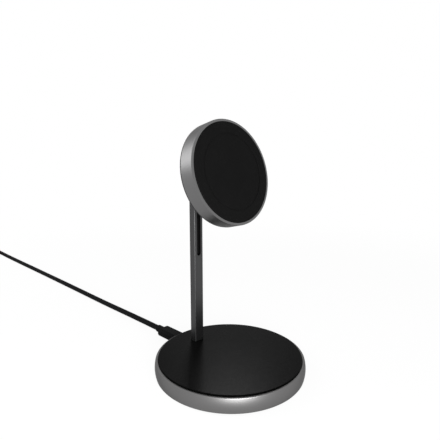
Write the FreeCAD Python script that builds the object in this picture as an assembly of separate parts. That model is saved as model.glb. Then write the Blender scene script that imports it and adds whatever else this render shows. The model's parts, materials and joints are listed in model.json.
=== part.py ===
import FreeCAD
import Part
import math
import os

# Charger stand: a weighted round base with a charging pad, a slotted stem, a carriage that slides
# in the slot and a round magnetic head on a friction hinge. Millimetres, +Z up, -Y to the front.
# The origin is on the table, under the middle of the base.

V = FreeCAD.Vector

# Base rim
RIM_DIAMETER = 94.3
RIM_HEIGHT = 9.35
RIM_BULGE_RADIUS = 15.65
RIM_LIP = 1.2
RIM_LEDGE = 2.05
RIM_TOP_ROUND = 0.6
RIM_FOOT_ROUND = 0.6

# Pad, deck and bottom
PAD_THICKNESS = 1.65
PAD_PROUD = 0.85
PAD_EDGE_ROUND = 0.4
DECK_THICKNESS = 1.9
COVER_THICKNESS = 1.4
COVER_LAP = 1.3
FOOT_PROUD = 0.6
FOOT_SEAT = 0.5
FOOT_WIDTH = 7.0
FOOT_INSET = 2.6
FOOT_BEVEL = 0.3
WEIGHT_THICKNESS = 2.7
BOSS_RADIUS = 2.6
BOSS_COUNT = 4
BOSS_ROOF = 0.9

# Base coil and board
PAD_COIL_DIAMETER = 43.0
PAD_COIL_BORE = 18.0
PAD_COIL_THICKNESS = 1.1
PAD_COIL_FORWARD = 4.0
PAD_FERRITE_THICKNESS = 0.8
COIL_FENCE = 0.9
COIL_GROOVES = 3
COIL_GROOVE_WIDTH = 0.5
COIL_GROOVE_DEPTH = 0.3
BOARD_THICKNESS = 0.8
BOARD_REACH = 22.3
CHIP_HEIGHT = 0.9
CHIP_ROUND = 0.2
CHOKE_RADIUS = 2.3
MAIN_CHIP_SIZE = 6.0
MAIN_CHIP_SPREAD = 20.0
MAIN_CHIP_FORWARD = 10.3
SIDE_CHIP_WIDTH = 3.0
SIDE_CHIP_DEPTH = 1.8
SIDE_CHIP_SPREAD = 11.5
SIDE_CHIP_BACK = 8.3
CHOKE_SPREAD = 32.0
CHOKE_FORWARD = 14.8

# Stem
STEM_WIDTH = 7.15
STEM_DEPTH = 4.9
STEM_WALL = 1.0
STEM_ROUND = 0.5
CHANNEL_ROUND = 0.3
STEM_SETBACK = 16.85
STEM_TOP_MARGIN = 6.0
SLOT_WIDTH = 3.3
CAP_THICKNESS = 1.2
CAP_PLUG = 3.0
CAP_ROUND = 0.4
FOOT_BLOCK_SIDE = 6.0
FOOT_BLOCK_FRONT = 3.0
FOOT_BLOCK_ROUND = 1.5
LEAD_WIDTH = 4.0
LEAD_THICKNESS = 0.25

# Carriage
TRAVEL_DOWN = 44.0
TRAVEL_UP = 8.0
NECK_HEIGHT = 14.0
BLOCK_EXTRA = 1.5
BLOCK_DEPTH = 1.6
BLOCK_ROUND = 0.6
SPRING_THICKNESS = 0.25
SHOE_THICKNESS = 0.8
PLATE_HEIGHT = 15.0
PLATE_THICKNESS = 2.0
PLATE_ROUND = 1.0
BAR_HEIGHT = 6.0
KNUCKLE_RADIUS = 4.0
ARM_FILLET = 0.7
ARM_SCREW_SPACING = 10.6

# Hinge
HINGE_HEIGHT = 121.2
HINGE_FORWARD = 13.6
HINGE_REACH = 6.4
HEAD_TILT = 15.2
PIN_RADIUS = 1.5
PIN_RECESS = 0.2
WASHER_THICKNESS = 0.4
WASHER_RADIUS = 3.6
EAR_THICKNESS = 2.2
EAR_RADIUS = 4.2
EAR_FOOT = 6.0
BRACKET_HEIGHT = 16.0
BRACKET_PLATE = 1.5
BRACKET_ROUND = 1.6
BRACKET_SCREW_SPACING = 11.0

# Head
HEAD_DIAMETER = 62.85
HEAD_THICKNESS = 10.5
HEAD_RIM_WALL = 1.5
HEAD_RIM_ROUND = 0.5
HEAD_LEDGE = 2.0
HEAD_LEDGE_THICKNESS = 1.2
BACK_PROUD = 0.7
BACK_INSET = 0.15
BACK_THICKNESS = 2.0
BACK_ROUND = 0.4
FACE_PROUD = 0.3
FACE_THICKNESS = 1.7
FACE_ROUND = 0.5
FACE_GROOVE_RADIUS = 22.6
FACE_GROOVE_WIDTH = 0.8
FACE_GROOVE_DEPTH = 0.25
TRAY_THICKNESS = 1.0
TRAY_WALL = 1.6
TRAY_HOLE_RADIUS = 5.0
MAGNET_COUNT = 18
MAGNET_WIDTH = 4.6
MAGNET_THICKNESS = 2.0
MAGNET_SPACING = 0.4
YOKE_THICKNESS = 0.5
HEAD_COIL_BORE = 16.0
HEAD_COIL_THICKNESS = 1.4
HEAD_BOARD_RADIUS = 16.0
HEAD_CHIP_OFFSET = 6.5

# Power plug and socket
TIP_WIDTH = 8.25
TIP_HEIGHT = 2.4
TIP_LENGTH = 6.65
TIP_WALL = 0.35
SOCKET_WALL = 0.3
SOCKET_DEPTH = 7.35
SOCKET_RECESS = 1.0
TONGUE_THICKNESS = 0.7
TONGUE_LENGTH = 4.6
TONGUE_ROUND = 0.2
PLUG_WIDTH = 10.6
PLUG_HEIGHT = 5.8
PLUG_LENGTH = 20.0
PLUG_SIDE_FLAT = 0.3
PLUG_ROUND = 1.0
COLLAR_DIAMETER = 5.3
COLLAR_LENGTH = 5.2
PLUG_STANDOFF = 0.35

# Lead
CABLE_DIAMETER = 4.0
TURN_PITCH = 4.1
COIL_MEAN_DIAMETER = 44.0
COIL_COLUMNS = 3
COIL_LAYERS = 2
COIL_CENTRE = (-24.7, 422.0)
TIE_THICKNESS = 0.5
TIE_ANGLE = 20.0
CABLE_ROUTE = [
    (0.0, 93.0, 4.8),
    (0.95, 121.0, 3.8),
    (2.45, 155.0, 2.25),
    (2.85, 200.0, 2.02),
    (2.7, 250.0, 2.0),
    (2.3, 305.0, 2.0),
    (1.8, 355.0, 2.0),
    (1.45, 395.0, 2.4),
    (1.4, 422.0, 2.65),
]
TAIL_ROUTE = [
    (-50.8, 422.0, 6.75),
    (-51.0, 405.0, 6.1),
    (-51.9, 388.0, 4.4),
    (-52.6, 372.0, 2.9),
    (-52.6, 356.0, 2.9),
]

# Screws: head radius, head height, shank radius
COVER_SCREW = (1.7, 0.75, 0.95)
STEM_SCREW = (2.2, 1.2, 1.2)
ARM_SCREW = (1.35, 0.9, 0.75)
BRACKET_SCREW = (1.7, 1.0, 0.9)

# Clearances
SEAT_GAP = 0.15
THREAD_GAP = 0.05
HOLE_GAP = 0.25
SLIDE_GAP = 0.2
RUN_GAP = 0.05
SLOT_END_GAP = 0.6
BOARD_GAP = 0.5

# Extra length of cutting tools, and tolerances for picking edges by place and for points that meet
OVERCUT = 1.0
EDGE_TOL = 1e-3
POINT_TOL = 1e-6

# Share of the shorter run that each bend of the lead takes
BEND_SHARE = 0.45

# Levels of the base
rim_radius = RIM_DIAMETER / 2
rim_bottom = FOOT_PROUD
rim_top = rim_bottom + RIM_HEIGHT
rim_middle = (rim_bottom + rim_top) / 2
pad_top = rim_top + PAD_PROUD
deck_top = pad_top - PAD_THICKNESS
deck_bottom = deck_top - DECK_THICKNESS
cover_top = rim_bottom + COVER_THICKNESS
foot_floor = rim_bottom + FOOT_SEAT
weight_top = cover_top + WEIGHT_THICKNESS
board_bottom = deck_bottom - BOARD_THICKNESS

# Radii of the base
bulge_drop = RIM_BULGE_RADIUS - math.sqrt(RIM_BULGE_RADIUS ** 2 - (RIM_HEIGHT / 2) ** 2)
rim_edge_radius = rim_radius - bulge_drop
pad_seat_radius = rim_edge_radius - RIM_LIP
pad_radius = pad_seat_radius - SEAT_GAP
web_radius = pad_seat_radius - RIM_LEDGE
cover_seat_radius = web_radius + COVER_LAP
cover_radius = cover_seat_radius - SEAT_GAP
foot_outer_radius = cover_radius - FOOT_INSET
foot_inner_radius = foot_outer_radius - FOOT_WIDTH
boss_circle = (foot_outer_radius + foot_inner_radius) / 2
pad_coil_radius = PAD_COIL_DIAMETER / 2
fence_radius = pad_coil_radius + SEAT_GAP + COIL_FENCE

# Stem and carriage places
stem_y = rim_radius - STEM_SETBACK
stem_front = stem_y - STEM_DEPTH / 2
stem_back = stem_y + STEM_DEPTH / 2
channel_width = STEM_WIDTH - 2 * STEM_WALL
channel_front = stem_front + STEM_WALL
channel_back = stem_back - STEM_WALL
slot_low = HINGE_HEIGHT - TRAVEL_DOWN - NECK_HEIGHT / 2 - SLOT_END_GAP
slot_high = HINGE_HEIGHT + TRAVEL_UP + NECK_HEIGHT / 2 + SLOT_END_GAP
stem_top = slot_high + STEM_TOP_MARGIN
shoe_back = stem_front - SLIDE_GAP
shoe_front = shoe_back - SHOE_THICKNESS
block_front = channel_front + SLIDE_GAP
block_back = block_front + BLOCK_DEPTH
neck_width = SLOT_WIDTH - 2 * SLIDE_GAP
hinge_y = stem_front - HINGE_FORWARD
foot_block_width = STEM_WIDTH + 2 * FOOT_BLOCK_SIDE
foot_block_depth = STEM_DEPTH + 2 * FOOT_BLOCK_FRONT
stem_screw_x = (STEM_WIDTH + FOOT_BLOCK_SIDE) / 2

# Head places, measured along its axis from the hinge towards the face
head_radius = HEAD_DIAMETER / 2
head_back_level = HINGE_REACH
rim_back_level = head_back_level + BACK_PROUD
face_level = head_back_level + HEAD_THICKNESS
rim_front_level = face_level - FACE_PROUD
face_bottom_level = face_level - FACE_THICKNESS
magnet_level = face_bottom_level - MAGNET_THICKNESS
yoke_level = magnet_level - YOKE_THICKNESS
tray_level = yoke_level - TRAY_THICKNESS
head_coil_level = face_bottom_level - HEAD_COIL_THICKNESS
board_level = head_back_level + BACK_THICKNESS
bore_radius = head_radius - HEAD_RIM_WALL
inner_radius = bore_radius - SEAT_GAP
magnet_outer = inner_radius - TRAY_WALL - SEAT_GAP
magnet_inner = magnet_outer - MAGNET_WIDTH
head_coil_radius = magnet_inner - SEAT_GAP - COIL_FENCE
ear_inner = STEM_WIDTH / 2 + WASHER_THICKNESS + 2 * RUN_GAP
ear_outer = ear_inner + EAR_THICKNESS

# Socket and plug places
socket_width = TIP_WIDTH + 2 * SEAT_GAP + 2 * SOCKET_WALL
socket_height = TIP_HEIGHT + 2 * SEAT_GAP + 2 * SOCKET_WALL
socket_z = board_bottom - socket_height / 2
socket_mouth = rim_radius - SOCKET_RECESS
socket_rear = socket_mouth - SOCKET_DEPTH
plug_face = rim_radius + PLUG_STANDOFF
plug_end = plug_face + PLUG_LENGTH + COLLAR_LENGTH


def flat_xy(a, b):
    return V(a, b, 0)


def flat_xz(a, b):
    return V(a, 0, b)


def flat_yz(a, b):
    return V(0, a, b)


def rounded_face(corners, flat):
    """Face of a closed outline; each corner is (a, b, round) and is rounded by a tangent arc."""
    bends = []
    for index, (a, b, radius) in enumerate(corners):
        corner = V(a, b, 0)
        back = V(*corners[index - 1][:2], 0) - corner
        ahead = V(*corners[(index + 1) % len(corners)][:2], 0) - corner
        back.normalize()
        ahead.normalize()
        half = back.getAngle(ahead) / 2
        middle = back + ahead
        if radius > 0:
            middle.normalize()
            middle = middle * (radius / math.sin(half) - radius)
        trim = radius / math.tan(half)
        bends.append((corner + back * trim, corner + middle, corner + ahead * trim, radius))
    edges = []
    for index, (start, middle, end, radius) in enumerate(bends):
        following = bends[(index + 1) % len(bends)][0]
        if radius > 0:
            places = [flat(point.x, point.y) for point in (start, middle, end)]
            edges.append(Part.Arc(*places).toShape())
        if (following - end).Length > POINT_TOL:
            line = Part.LineSegment(flat(end.x, end.y), flat(following.x, following.y))
            edges.append(line.toShape())
    return Part.Face(Part.Wire(edges))


def box_corners(width, height, radius, middle=(0, 0)):
    a, b = width / 2, height / 2
    x, y = middle
    return [(x - a, y - b, radius), (x + a, y - b, radius), (x + a, y + b, radius), (x - a, y + b, radius)]


def slab(width, depth, radius, low, high, middle=(0, 0)):
    """Upright block with a rounded rectangular outline."""
    face = rounded_face(box_corners(width, depth, radius, middle), flat_xy)
    return face.translated(V(0, 0, low)).extrude(V(0, 0, high - low))


def bar_along_y(width, height, radius, start, end, level, x=0):
    """Block along Y with a rounded rectangular section."""
    face = rounded_face(box_corners(width, height, radius, (x, level)), flat_xz)
    return face.translated(V(0, start, 0)).extrude(V(0, end - start, 0))


def bar_along_x(outline, width):
    """Block along X, centred, from an outline in Y and Z."""
    return rounded_face(outline, flat_yz).translated(V(-width / 2, 0, 0)).extrude(V(width, 0, 0))


def turned(corners, angle=360):
    """Solid of revolution about Z from an outline in radius and height."""
    return rounded_face(corners, flat_xz).revolve(V(0, 0, 0), V(0, 0, 1), angle)


def disc(radius, low, high, x=0, y=0):
    return Part.makeCylinder(radius, high - low, V(x, y, low))


def rod_across(radius, length):
    """Round rod along X, centred on the origin."""
    return Part.makeCylinder(radius, length, V(-length / 2, 0, 0), V(1, 0, 0))


def ring(inner, outer, low, high):
    return turned([(inner, low, 0), (outer, low, 0), (outer, high, 0), (inner, high, 0)])


def countersunk(sizes, length, gap=0.0):
    """Screw along +Z with its flat head at the origin; with a gap it is the hole for that screw."""
    flat_radius, flat_height, shank_radius = sizes
    shank = shank_radius + gap
    head = Part.makeCone(flat_radius + gap, shank, flat_height)
    return head.fuse(Part.makeCylinder(shank, length)).removeSplitter()


def cut_all(shape, tools):
    for tool in tools:
        shape = shape.cut(tool)
    return shape


def edges_at(shape, test):
    return [edge for edge in shape.Edges if test(edge)]


def lies_between(edge, low, high):
    return edge.BoundBox.ZMin > low - EDGE_TOL and edge.BoundBox.ZMax < high + EDGE_TOL


def coil_ring(bore, radius, low, high):
    """Flat wound coil: a ring with grooves between its turns on the lower face."""
    coil = ring(bore, radius, low, high)
    step = (radius - bore) / (COIL_GROOVES + 1)
    for index in range(COIL_GROOVES):
        middle = bore + step * (index + 1)
        groove = ring(middle - COIL_GROOVE_WIDTH / 2, middle + COIL_GROOVE_WIDTH / 2, low,
                      low + COIL_GROOVE_DEPTH)
        coil = coil.cut(groove)
    return coil


def stem_outline(low, high, gap=0.0):
    return slab(STEM_WIDTH + 2 * gap, STEM_DEPTH + 2 * gap, STEM_ROUND + gap, low, high, (0, stem_y))


def boss_places():
    places = []
    for index in range(BOSS_COUNT):
        angle = math.tau * (index + 0.5) / BOSS_COUNT
        places.append((boss_circle * math.cos(angle), boss_circle * math.sin(angle)))
    return places


# Base pieces

def rim_round(level, radius):
    """Arc that eases the flat at this level into the bulge: its ends and its middle, flat side first."""
    side = 1 if level > rim_middle else -1
    height = level - side * radius - rim_middle
    reach = math.sqrt((RIM_BULGE_RADIUS - radius) ** 2 - height ** 2)
    centre = V(rim_radius - RIM_BULGE_RADIUS + reach, 0, rim_middle + height)
    upright = V(0, 0, side)
    outward = V(reach, 0, height)
    outward.normalize()
    between = upright + outward
    between.normalize()
    return [centre + direction * radius for direction in (upright, between, outward)]


def base_rim():
    foot = rim_round(rim_bottom, RIM_FOOT_ROUND)
    top = rim_round(rim_top, RIM_TOP_ROUND)
    curves = [
        Part.Arc(*foot),
        Part.Arc(foot[2], V(rim_radius, 0, rim_middle), top[2]),
        Part.Arc(*top[::-1]),
    ]
    inside = [
        (top[0].x, rim_top),
        (pad_seat_radius, rim_top),
        (pad_seat_radius, deck_bottom),
        (web_radius, deck_bottom),
        (web_radius, cover_top),
        (cover_seat_radius, cover_top),
        (cover_seat_radius, rim_bottom),
        (foot[0].x, rim_bottom),
    ]
    walls = Part.makePolygon([V(radius, 0, level) for radius, level in inside])
    section = Part.Face(Part.Wire([curve.toShape() for curve in curves] + walls.Edges))
    rim = section.revolve(V(0, 0, 0), V(0, 0, 1), 360)
    mouth = bar_along_y(socket_width + 2 * HOLE_GAP, socket_height + 2 * HOLE_GAP,
                        socket_height / 2 + HOLE_GAP, socket_rear, rim_radius + OVERCUT, socket_z)
    return rim.cut(mouth)


def charging_pad():
    pad = turned([(0, deck_top, 0), (pad_radius, deck_top, 0), (pad_radius, pad_top, PAD_EDGE_ROUND),
                  (0, pad_top, 0)])
    return pad.cut(stem_outline(deck_top, pad_top, SEAT_GAP))


def cover_screw_length():
    return deck_top - BOSS_ROOF - foot_floor


def pad_deck():
    deck = disc(pad_radius, deck_bottom, deck_top)
    fence = ring(pad_coil_radius + SEAT_GAP, fence_radius, deck_bottom - PAD_COIL_THICKNESS, deck_bottom)
    deck = deck.fuse(fence.translated(V(0, -PAD_COIL_FORWARD, 0)))
    for x, y in boss_places():
        deck = deck.fuse(disc(BOSS_RADIUS, weight_top, deck_bottom, x, y))
    for x, y in boss_places():
        pilot = disc(COVER_SCREW[2] + THREAD_GAP, weight_top, deck_top - BOSS_ROOF + HOLE_GAP, x, y)
        deck = deck.cut(pilot)
    return deck.cut(stem_outline(deck_bottom, deck_top, SEAT_GAP)).removeSplitter()


def pad_coil():
    coil = coil_ring(PAD_COIL_BORE / 2, pad_coil_radius, deck_bottom - PAD_COIL_THICKNESS, deck_bottom)
    return coil.translated(V(0, -PAD_COIL_FORWARD, 0))


def pad_ferrite():
    top = deck_bottom - PAD_COIL_THICKNESS
    return disc(fence_radius, top - PAD_FERRITE_THICKNESS, top, 0, -PAD_COIL_FORWARD)


def base_board():
    radius = web_radius - BOARD_GAP
    front = stem_y - BOARD_REACH
    board = disc(radius, board_bottom, deck_bottom)
    board = board.common(slab(2 * radius, radius - front, 0, board_bottom, deck_bottom,
                              (0, (radius + front) / 2)))
    cuts = [disc(fence_radius + BOARD_GAP, board_bottom, deck_bottom, 0, -PAD_COIL_FORWARD)]
    cuts.append(slab(foot_block_width + 2 * BOARD_GAP, foot_block_depth + 2 * BOARD_GAP, FOOT_BLOCK_ROUND,
                     board_bottom, deck_bottom, (0, stem_y)))
    for x, y in boss_places():
        cuts.append(disc(BOSS_RADIUS + BOARD_GAP, board_bottom, deck_bottom, x, y))
    return cut_all(board, cuts)


def board_parts():
    low = board_bottom - CHIP_HEIGHT
    pieces = [disc(CHOKE_RADIUS, low, board_bottom, CHOKE_SPREAD, stem_y - CHOKE_FORWARD)]
    for side in (-1, 1):
        main_place = (side * MAIN_CHIP_SPREAD, stem_y - MAIN_CHIP_FORWARD)
        side_place = (side * SIDE_CHIP_SPREAD, stem_y + SIDE_CHIP_BACK)
        pieces.append(slab(MAIN_CHIP_SIZE, MAIN_CHIP_SIZE, CHIP_ROUND, low, board_bottom, main_place))
        pieces.append(slab(SIDE_CHIP_WIDTH, SIDE_CHIP_DEPTH, CHIP_ROUND, low, board_bottom, side_place))
    return Part.makeCompound(pieces)


def socket_shell():
    inner_width = TIP_WIDTH + 2 * SEAT_GAP
    inner_height = TIP_HEIGHT + 2 * SEAT_GAP
    shell = bar_along_y(socket_width, socket_height, socket_height / 2, socket_rear, socket_mouth, socket_z)
    hollow = bar_along_y(inner_width, inner_height, inner_height / 2, socket_rear + SOCKET_WALL,
                         socket_mouth, socket_z)
    return shell.cut(hollow)


def socket_tongue():
    start = socket_rear + SOCKET_WALL
    width = TIP_WIDTH - 2 * TIP_WALL - 2 * SLIDE_GAP
    return bar_along_y(width, TONGUE_THICKNESS, TONGUE_ROUND, start, start + TONGUE_LENGTH, socket_z)


def base_weight():
    weight = disc(web_radius - SEAT_GAP, cover_top, weight_top)
    notch_front = socket_rear - BOARD_GAP
    notch = slab(socket_width + 2 * BOARD_GAP, rim_radius - notch_front, 0, cover_top, weight_top,
                 (0, (rim_radius + notch_front) / 2))
    cuts = [notch]
    for x, y in boss_places():
        cuts.append(disc(COVER_SCREW[2] + HOLE_GAP, cover_top, weight_top, x, y))
    for side in (-1, 1):
        hole = countersunk(STEM_SCREW, WEIGHT_THICKNESS, RUN_GAP)
        cuts.append(hole.translated(V(side * stem_screw_x, stem_y, cover_top)))
    return cut_all(weight, cuts)


def bottom_cover():
    inner, outer = foot_inner_radius - SEAT_GAP, foot_outer_radius + SEAT_GAP
    cover = turned([(0, rim_bottom, 0), (inner, rim_bottom, 0), (inner, foot_floor, 0),
                    (outer, foot_floor, 0), (outer, rim_bottom, 0), (cover_radius, rim_bottom, 0),
                    (cover_radius, cover_top, 0), (0, cover_top, 0)])
    for x, y in boss_places():
        hole = countersunk(COVER_SCREW, COVER_THICKNESS, RUN_GAP)
        cover = cover.cut(hole.translated(V(x, y, foot_floor)))
    return cover


def cover_screws():
    screw = countersunk(COVER_SCREW, cover_screw_length())
    return Part.makeCompound([screw.translated(V(x, y, foot_floor)) for x, y in boss_places()])


def foot_ring():
    return turned([(foot_inner_radius + FOOT_BEVEL, 0, 0), (foot_outer_radius - FOOT_BEVEL, 0, 0),
                   (foot_outer_radius, FOOT_BEVEL, 0), (foot_outer_radius, foot_floor, 0),
                   (foot_inner_radius, foot_floor, 0), (foot_inner_radius, FOOT_BEVEL, 0)])


# Stem pieces

def lead_window(start, end):
    height = board_bottom - weight_top
    return bar_along_y(LEAD_WIDTH + 2 * SLIDE_GAP, height, 0, start, end, weight_top + height / 2)


def stem():
    tube = stem_outline(weight_top, stem_top)
    channel = slab(channel_width, channel_back - channel_front, CHANNEL_ROUND, weight_top, stem_top,
                   (0, (channel_front + channel_back) / 2))
    slot = bar_along_y(SLOT_WIDTH, slot_high - slot_low, SLOT_WIDTH / 2, stem_front - OVERCUT,
                       channel_front + STEM_WALL / 2, (slot_low + slot_high) / 2)
    return cut_all(tube, [channel, slot, lead_window(channel_back - LEAD_THICKNESS, stem_back + OVERCUT)])


def stem_foot():
    block = slab(foot_block_width, foot_block_depth, FOOT_BLOCK_ROUND, weight_top, deck_bottom, (0, stem_y))
    cuts = [stem_outline(weight_top, deck_bottom, RUN_GAP)]
    for side in (-1, 1):
        cuts.append(disc(STEM_SCREW[2] + THREAD_GAP, weight_top, deck_bottom, side * stem_screw_x, stem_y))
    cuts.append(lead_window(stem_y, stem_y + foot_block_depth))
    return cut_all(block, cuts)


def stem_screws():
    screw = countersunk(STEM_SCREW, deck_bottom - cover_top - HOLE_GAP)
    places = [V(side * stem_screw_x, stem_y, cover_top) for side in (-1, 1)]
    return Part.makeCompound([screw.translated(place) for place in places])


def stem_cap():
    cap = stem_outline(stem_top, stem_top + CAP_THICKNESS)
    top = stem_top + CAP_THICKNESS
    rim = edges_at(cap, lambda edge: lies_between(edge, top, top))
    cap = cap.makeFillet(CAP_ROUND, rim)
    plug = slab(channel_width - 2 * RUN_GAP, channel_back - channel_front - 2 * RUN_GAP, CHANNEL_ROUND,
                stem_top - CAP_PLUG, stem_top, (0, (channel_front + channel_back) / 2))
    return cap.fuse(plug).removeSplitter()


def stem_lead():
    front = channel_back - LEAD_THICKNESS
    top = stem_top - CAP_PLUG - HOLE_GAP
    tail = socket_rear - BOARD_GAP
    low = board_bottom - LEAD_THICKNESS
    outline = [(front, low, 0), (tail, low, 0), (tail, board_bottom, 0), (channel_back, board_bottom, 0),
               (channel_back, top, 0), (front, top, 0)]
    return bar_along_x(outline, LEAD_WIDTH)


# Carriage pieces

def arm_screw_levels():
    return [HINGE_HEIGHT - ARM_SCREW_SPACING / 2, HINGE_HEIGHT + ARM_SCREW_SPACING / 2]


def arm_screw_start():
    return shoe_front - PLATE_THICKNESS


def arm_screw_end():
    return block_back - HOLE_GAP


def hole_along_y(radius, start, end, level):
    return Part.makeCylinder(radius, end - start, V(0, start, level), V(0, 1, 0))


def slide_block():
    width = channel_width - 2 * SLIDE_GAP
    height = NECK_HEIGHT + 2 * BLOCK_EXTRA
    block = bar_along_y(width, height, BLOCK_ROUND, block_front, block_back, HINGE_HEIGHT)
    neck = bar_along_y(neck_width, NECK_HEIGHT, neck_width / 2, shoe_front, block_front, HINGE_HEIGHT)
    block = block.fuse(neck).removeSplitter()
    radius = ARM_SCREW[2] + THREAD_GAP
    holes = [hole_along_y(radius, shoe_front, block_back, level) for level in arm_screw_levels()]
    return cut_all(block, holes)


def brake_spring():
    span = NECK_HEIGHT - 2 * BLOCK_EXTRA
    rise = channel_back - LEAD_THICKNESS - SLIDE_GAP - block_back - SPRING_THICKNESS
    low, high = HINGE_HEIGHT - span / 2, HINGE_HEIGHT + span / 2

    def bow(offset):
        y = block_back + offset
        return Part.Arc(V(0, y, low), V(0, y + rise, HINGE_HEIGHT), V(0, y, high)).toShape()

    foot, head = [Part.makeLine(V(0, block_back, level), V(0, block_back + SPRING_THICKNESS, level))
                  for level in (low, high)]
    face = Part.Face(Part.Wire([bow(0), head, bow(SPRING_THICKNESS), foot]))
    return face.translated(V(-LEAD_WIDTH / 2, 0, 0)).extrude(V(LEAD_WIDTH, 0, 0))


def slide_shoe():
    shoe = bar_along_y(STEM_WIDTH, PLATE_HEIGHT, PLATE_ROUND, shoe_front, shoe_back, HINGE_HEIGHT)
    hole = bar_along_y(neck_width + 2 * RUN_GAP, NECK_HEIGHT + 2 * RUN_GAP, neck_width / 2 + RUN_GAP,
                       shoe_front, shoe_back, HINGE_HEIGHT)
    return shoe.cut(hole)


def arm():
    plate_front = arm_screw_start()
    ends = []
    for side in (-1, 1):
        ends.append([(hinge_y - KNUCKLE_RADIUS, HINGE_HEIGHT + side * KNUCKLE_RADIUS, KNUCKLE_RADIUS),
                     (hinge_y + KNUCKLE_RADIUS, HINGE_HEIGHT + side * KNUCKLE_RADIUS, KNUCKLE_RADIUS),
                     (plate_front, HINGE_HEIGHT + side * BAR_HEIGHT / 2, ARM_FILLET),
                     (plate_front, HINGE_HEIGHT + side * PLATE_HEIGHT / 2, 0),
                     (shoe_front, HINGE_HEIGHT + side * PLATE_HEIGHT / 2, 0)])
    piece = bar_along_x(ends[0] + ends[1][::-1], STEM_WIDTH)
    tip = hinge_y - KNUCKLE_RADIUS
    piece = piece.common(bar_along_y(STEM_WIDTH, PLATE_HEIGHT, PLATE_ROUND, tip, shoe_front, HINGE_HEIGHT))
    bore = rod_across(PIN_RADIUS + RUN_GAP, STEM_WIDTH).translated(V(0, hinge_y, HINGE_HEIGHT))
    radius = ARM_SCREW[2] + RUN_GAP
    holes = [hole_along_y(radius, plate_front, shoe_front, level) for level in arm_screw_levels()]
    return cut_all(piece, [bore] + holes)


def arm_screws():
    cap_radius, cap_height, shank_radius = ARM_SCREW
    start = arm_screw_start()
    screws = []
    for level in arm_screw_levels():
        head = hole_along_y(cap_radius, start - cap_height, start, level)
        screws.append(head.fuse(hole_along_y(shank_radius, start, arm_screw_end(), level)))
    return Part.makeCompound(screws)


# Head pieces, built about the hinge with +Z to the face and +Y up the head

def hinge_pin():
    return rod_across(PIN_RADIUS, 2 * (ear_outer - PIN_RECESS))


def hinge_washers():
    washers = []
    for side in (-1, 1):
        start = side * (STEM_WIDTH / 2 + RUN_GAP)
        direction = V(side, 0, 0)
        washer = Part.makeCylinder(WASHER_RADIUS, WASHER_THICKNESS, V(start, 0, 0), direction)
        bore = Part.makeCylinder(PIN_RADIUS + RUN_GAP, WASHER_THICKNESS, V(start, 0, 0), direction)
        washers.append(washer.cut(bore))
    return Part.makeCompound(washers)


def bracket_screw_places():
    return [-BRACKET_SCREW_SPACING / 2, BRACKET_SCREW_SPACING / 2]


def hinge_bracket():
    plate_level = head_back_level - BRACKET_PLATE
    bracket = slab(2 * ear_outer, BRACKET_HEIGHT, BRACKET_ROUND, plate_level, head_back_level)
    bow = Part.Arc(V(0, EAR_RADIUS, 0), V(0, 0, -EAR_RADIUS), V(0, -EAR_RADIUS, 0)).toShape()
    sides = Part.makePolygon([V(0, -EAR_RADIUS, 0), V(0, -EAR_FOOT, plate_level),
                              V(0, EAR_FOOT, plate_level), V(0, EAR_RADIUS, 0)])
    ear = Part.Face(Part.Wire([bow] + sides.Edges)).extrude(V(EAR_THICKNESS, 0, 0))
    for start in (-ear_outer, ear_inner):
        bracket = bracket.fuse(ear.translated(V(start, 0, 0)))
    cuts = [rod_across(PIN_RADIUS + RUN_GAP / 2, 2 * ear_outer)]
    for y in bracket_screw_places():
        cuts.append(disc(BRACKET_SCREW[2] + THREAD_GAP, plate_level, head_back_level, 0, y))
    return cut_all(bracket.removeSplitter(), cuts)


def bracket_screws():
    screw = countersunk(BRACKET_SCREW, BACK_THICKNESS + BRACKET_PLATE - HOLE_GAP)
    screw.rotate(V(0, 0, 0), V(1, 0, 0), 180)
    return Part.makeCompound([screw.translated(V(0, y, board_level)) for y in bracket_screw_places()])


def head_back():
    flange_radius = head_radius - BACK_INSET
    cover = turned([(0, head_back_level, 0), (flange_radius, head_back_level, BACK_ROUND),
                    (flange_radius, rim_back_level, 0), (inner_radius, rim_back_level, 0),
                    (inner_radius, board_level, 0), (0, board_level, 0)])
    for y in bracket_screw_places():
        hole = countersunk(BRACKET_SCREW, BACK_THICKNESS, RUN_GAP)
        hole.rotate(V(0, 0, 0), V(1, 0, 0), 180)
        cover = cover.cut(hole.translated(V(0, y, board_level)))
    return cover


def head_rim():
    ledge_radius = bore_radius - HEAD_LEDGE
    ledge_low = tray_level - HEAD_LEDGE_THICKNESS
    return turned([(bore_radius, rim_back_level, 0), (head_radius, rim_back_level, HEAD_RIM_ROUND),
                   (head_radius, rim_front_level, HEAD_RIM_ROUND), (bore_radius, rim_front_level, 0),
                   (bore_radius, tray_level, 0), (ledge_radius, tray_level, 0), (ledge_radius, ledge_low, 0),
                   (bore_radius, ledge_low, 0)])


def head_board():
    return disc(HEAD_BOARD_RADIUS, board_level, board_level + BOARD_THICKNESS)


def head_parts():
    low = board_level + BOARD_THICKNESS
    high = low + CHIP_HEIGHT
    chip = slab(MAIN_CHIP_SIZE, MAIN_CHIP_SIZE, CHIP_ROUND, low, high, (-HEAD_CHIP_OFFSET, 0))
    return Part.makeCompound([chip, disc(CHOKE_RADIUS, low, high, HEAD_CHIP_OFFSET, 0)])


def head_tray():
    wall = inner_radius - TRAY_WALL
    return turned([(TRAY_HOLE_RADIUS, tray_level, 0), (inner_radius, tray_level, 0),
                   (inner_radius, face_bottom_level, 0), (wall, face_bottom_level, 0), (wall, yoke_level, 0),
                   (TRAY_HOLE_RADIUS, yoke_level, 0)])


def magnet_yoke():
    return ring(magnet_inner, magnet_outer, yoke_level, magnet_level)


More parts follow.
